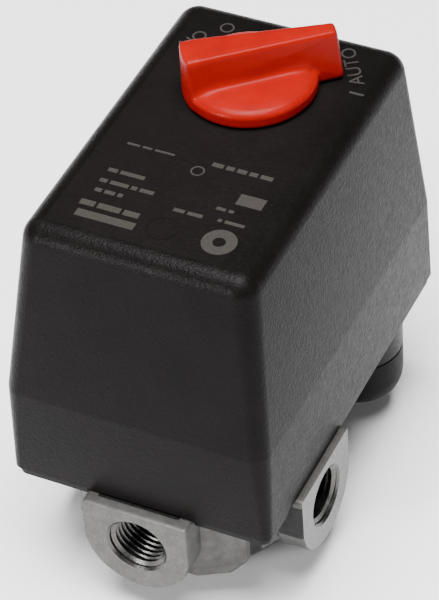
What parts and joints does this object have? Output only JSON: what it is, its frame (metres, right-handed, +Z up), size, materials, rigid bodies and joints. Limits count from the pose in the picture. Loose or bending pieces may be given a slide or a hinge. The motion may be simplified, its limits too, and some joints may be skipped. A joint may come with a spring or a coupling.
{
  "type": "pressure switch",
  "caption": "Compressor pressure switch: tapered black cover with a red rotary selector, snap-action mechanism inside, cast four-way threaded manifold and two cable entries below.",
  "frame": {"origin": "middle of the tank port's mouth, at the underside of the manifold", "axes": "+Z up along the tank port's axis, -Y to the front port, +X to the right-hand port"},
  "size_m": [0.0628, 0.093, 0.1066],
  "materials": {
    "cover_plastic": "fine spark-eroded grain, satin",
    "base_plastic": "smooth satin",
    "cast_alloy": "as cast, with machined port faces",
    "knob_plastic": "semi-gloss moulded",
    "zinc_steel": "zinc plated",
    "spring_steel": "drawn wire",
    "brass_parts": "stamped",
    "seal_rubber": "moulded",
    "block_plastic": "moulded",
    "carrier_plastic": "moulded",
    "slider_plastic": "moulded",
    "shaft_plastic": "moulded",
    "clip_steel": "blackened",
    "gland_plastic": "moulded"
  },
  "bodies": {
    "root": {"cover": "cover_plastic", "base": "base_plastic", "manifold": "cast_alloy", "manifold_screws": "zinc_steel", "cover_screws": "zinc_steel", "diaphragm": "seal_rubber", "frame": "zinc_steel", "pivot_pin": "zinc_steel", "pivot_clips": "clip_steel", "range_spring": "spring_steel", "diff_spring": "spring_steel", "contact_spring": "spring_steel", "contact_block": "block_plastic", "fixed_contacts": "brass_parts", "terminal_plates": "zinc_steel", "terminal_screws": "zinc_steel", "earth_screws": "brass_parts", "detent_spring": "spring_steel", "gland_nut_left": "gland_plastic", "gland_nut_right": "gland_plastic", "gland_seals": "seal_rubber"},
    "pressure_piston": {"pressure_plate": "zinc_steel"},
    "rocker": {"rocker_lever": "zinc_steel", "spring_seat": "zinc_steel"},
    "moving_contacts": {"contact_carrier": "carrier_plastic", "bridge_contacts": "brass_parts"},
    "range_adjuster": {"range_screw": "zinc_steel"},
    "range_traveller": {"range_nut": "brass_parts"},
    "diff_adjuster": {"diff_screw": "zinc_steel"},
    "diff_traveller": {"diff_nut": "brass_parts"},
    "selector": {"knob": "knob_plastic", "selector_shaft": "shaft_plastic", "shaft_clip": "clip_steel"},
    "release_slide": {"off_slider": "slider_plastic"}
  },
  "joints": [
    {"name": "plate_lift", "type": "slide", "parent": "root", "child": "pressure_piston", "axis": [0, 0, 1], "range_m": [0, 0.0012], "stiffness_N_per_m": 3000, "springref_m": -0.001, "deforming": ["range_spring", "diff_spring"]},
    {"name": "lever_rock", "type": "hinge", "parent": "root", "child": "rocker", "pos_m": [0, -0.013, 0.04], "axis": [1, 0, 0], "range_deg": [0, 5.4]},
    {"name": "contact_lift", "type": "slide", "parent": "root", "child": "moving_contacts", "axis": [0, 0, 1], "range_m": [0, 0.0039], "deforming": ["contact_spring"]},
    {"name": "range_nut_travel", "type": "slide", "parent": "root", "child": "range_traveller", "axis": [0, 0, 1], "range_m": [-0.0032, 0.0016]},
    {"name": "range_screw_turn", "type": "hinge", "parent": "root", "child": "range_adjuster", "pos_m": [0, 0, 0.0656], "axis": [0, 0, 1], "range_deg": [-721, 1441]},
    {"name": "diff_nut_travel", "type": "slide", "parent": "root", "child": "diff_traveller", "axis": [0, 0, 1], "range_m": [-0.0032, 0.0016]},
    {"name": "diff_screw_turn", "type": "hinge", "parent": "root", "child": "diff_adjuster", "pos_m": [0, 0.0184, 0.0656], "axis": [0, 0, 1], "range_deg": [-721, 1441]},
    {"name": "knob_turn", "type": "hinge", "parent": "root", "child": "selector", "pos_m": [0, 0.0384, 0.094], "axis": [0, 0, 1], "range_deg": [0, 90]},
    {"name": "release_lift", "type": "slide", "parent": "root", "child": "release_slide", "axis": [0, 0, 1], "range_m": [0, 0.0031]}
  ],
  "couplings": [
    {"joint": "lever_rock", "follows": "plate_lift", "rad_per_m": 76.923},
    {"joint": "contact_lift", "follows": "plate_lift", "ratio": 3.15},
    {"joint": "range_screw_turn", "follows": "range_nut_travel", "rad_per_m": -7854},
    {"joint": "diff_screw_turn", "follows": "diff_nut_travel", "rad_per_m": -7854},
    {"joint": "release_lift", "follows": "knob_turn", "m_per_rad": 0.0019099}
  ]
}
